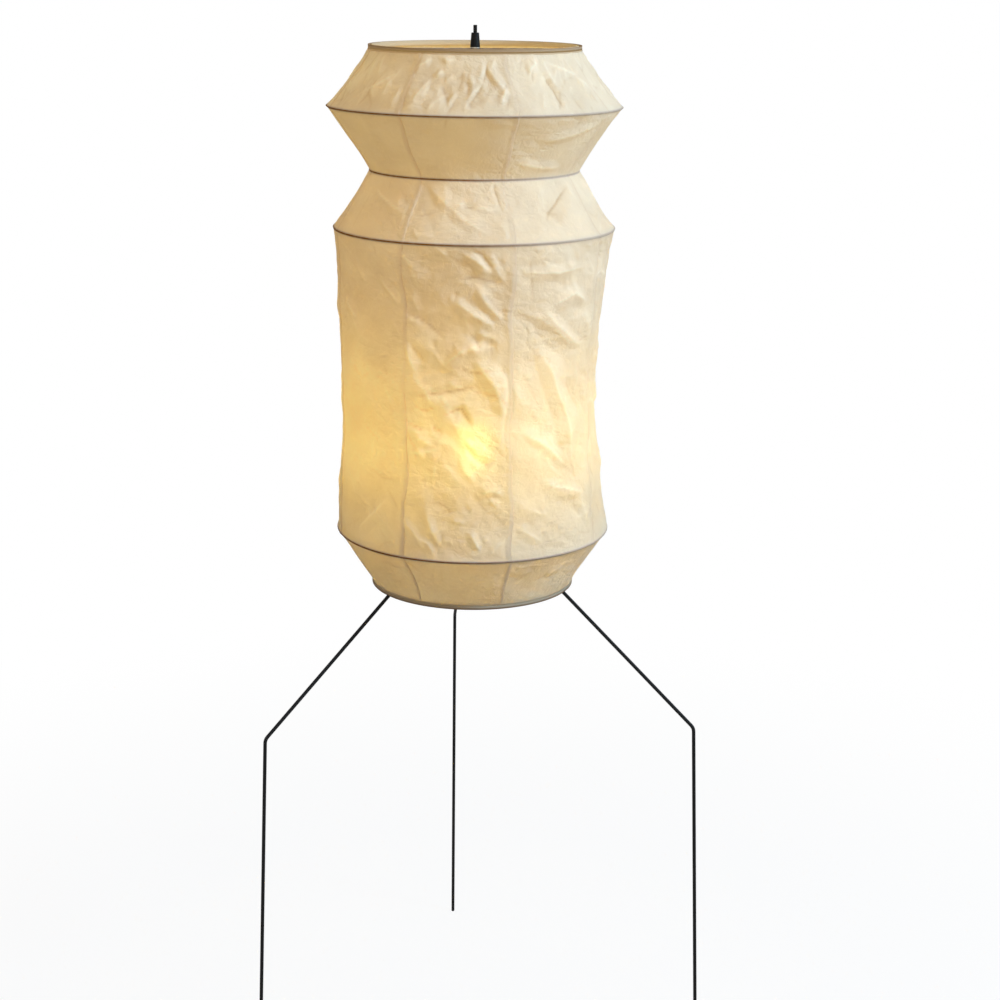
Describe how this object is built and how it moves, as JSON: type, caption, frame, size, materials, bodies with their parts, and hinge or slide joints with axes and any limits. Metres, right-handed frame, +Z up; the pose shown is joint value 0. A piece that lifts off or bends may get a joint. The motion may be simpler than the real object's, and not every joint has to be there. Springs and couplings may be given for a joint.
{
  "type": "floor lamp",
  "caption": "Floor lamp: a waisted paper lantern on bamboo hoops hangs from a wire stretcher over a bulb, on three thin bent rod legs.",
  "frame": {"origin": "On the floor, at the middle of the rectangle that the lamp takes up. The lamp's own upright axis is 100.5 mm in front of it, at Y = -0.1005 m, midway left to right.", "axes": "+Z up from the floor along the lamp's axis, +Y towards the rear leg, +X towards the right leg as seen from the front."},
  "size_m": [0.7646, 0.6809, 1.7862],
  "materials": {
    "black_paint": "satin",
    "paper": "matte",
    "bamboo": "matte",
    "ring_steel": "satin",
    "zinc": "satin",
    "black_plastic": "matte",
    "porcelain": "gloss",
    "brass": "satin",
    "nickel": "satin",
    "frosted_glass": "matte",
    "light_board": "matte"
  },
  "bodies": {
    "base": {"hub": "black_paint", "leg_left": "black_paint", "leg_right": "black_paint", "leg_rear": "black_paint", "stem": "zinc", "lock_washer": "zinc", "lock_nut": "zinc", "inlet_bush": "black_plastic", "saddle": "black_paint", "stretcher_wire_left": "black_paint", "stretcher_wire_right": "black_paint", "stretcher_head": "black_paint", "holder_base": "black_plastic", "holder_shell": "black_plastic", "holder_core": "porcelain", "screw_shell": "brass", "centre_contact": "brass"},
    "bulb": {"bulb_cap": "nickel", "bulb_tip": "nickel", "bulb_glass": "frosted_glass", "light_board": "light_board"},
    "shade": {"top_ring": "ring_steel", "top_cross_wire": "ring_steel", "top_washer": "zinc", "paper_gore_1": "paper", "paper_gore_2": "paper", "paper_gore_3": "paper", "paper_gore_4": "paper", "paper_gore_5": "paper", "paper_gore_6": "paper", "paper_gore_7": "paper", "paper_gore_8": "paper"},
    "nut": {"top_nut": "black_paint"},
    "bottom_ring": {"bottom_ring": "ring_steel"},
    "lower_hoop": {"lower_hoop": "bamboo"},
    "shoulder_hoop": {"shoulder_hoop": "bamboo"},
    "waist_hoop": {"waist_hoop": "bamboo"},
    "upper_hoop": {"upper_hoop": "bamboo"},
    "screw_left": {"thumbscrew_left": "zinc"},
    "screw_right": {"thumbscrew_right": "zinc"},
    "screw_rear": {"thumbscrew_rear": "zinc"}
  },
  "joints": [
    {"name": "shade_lift", "type": "slide", "parent": "base", "child": "shade", "axis": [0, 0, 1], "range_m": [0, 0.93]},
    {"name": "shade_gather", "type": "slide", "parent": "shade", "child": "bottom_ring", "axis": [0, 0, 1], "range_m": [0, 0.788], "deforming": ["paper_gore_1", "paper_gore_2", "paper_gore_3", "paper_gore_4", "paper_gore_5", "paper_gore_6", "paper_gore_7", "paper_gore_8"]},
    {"name": "lower_hoop_gather", "type": "slide", "parent": "shade", "child": "lower_hoop", "axis": [0, 0, 1], "range_m": [0, 0.70756]},
    {"name": "shoulder_hoop_gather", "type": "slide", "parent": "shade", "child": "shoulder_hoop", "axis": [0, 0, 1], "range_m": [0, 0.25369]},
    {"name": "waist_hoop_gather", "type": "slide", "parent": "shade", "child": "waist_hoop", "axis": [0, 0, 1], "range_m": [0, 0.17092]},
    {"name": "upper_hoop_gather", "type": "slide", "parent": "shade", "child": "upper_hoop", "axis": [0, 0, 1], "range_m": [0, 0.08015]},
    {"name": "top_nut_turn", "type": "hinge", "parent": "shade", "child": "nut", "pos_m": [0, -0.1005, 1.76275], "axis": [0, 0, 1], "continuous": true},
    {"name": "bulb_turn", "type": "hinge", "parent": "base", "child": "bulb", "pos_m": [0, -0.1005, 1.037], "axis": [0, 0, 1], "continuous": true},
    {"name": "thumbscrew_left_turn", "type": "hinge", "parent": "base", "child": "screw_left", "pos_m": [-0.03204, -0.119, 0.96827], "axis": [-0.5602, -0.3235, 0.7626], "range_deg": [0, 720]},
    {"name": "thumbscrew_right_turn", "type": "hinge", "parent": "base", "child": "screw_right", "pos_m": [0.03204, -0.119, 0.96827], "axis": [0.5602, -0.3235, 0.7626], "range_deg": [0, 720]},
    {"name": "thumbscrew_rear_turn", "type": "hinge", "parent": "base", "child": "screw_rear", "pos_m": [0, -0.0635, 0.96827], "axis": [0, 0.6469, 0.7626], "range_deg": [0, 720]}
  ],
  "couplings": [
    {"joint": "lower_hoop_gather", "follows": "shade_gather", "ratio": 0.89729},
    {"joint": "shoulder_hoop_gather", "follows": "shade_gather", "ratio": 0.32131},
    {"joint": "waist_hoop_gather", "follows": "shade_gather", "ratio": 0.21628},
    {"joint": "upper_hoop_gather", "follows": "shade_gather", "ratio": 0.10108}
  ]
}
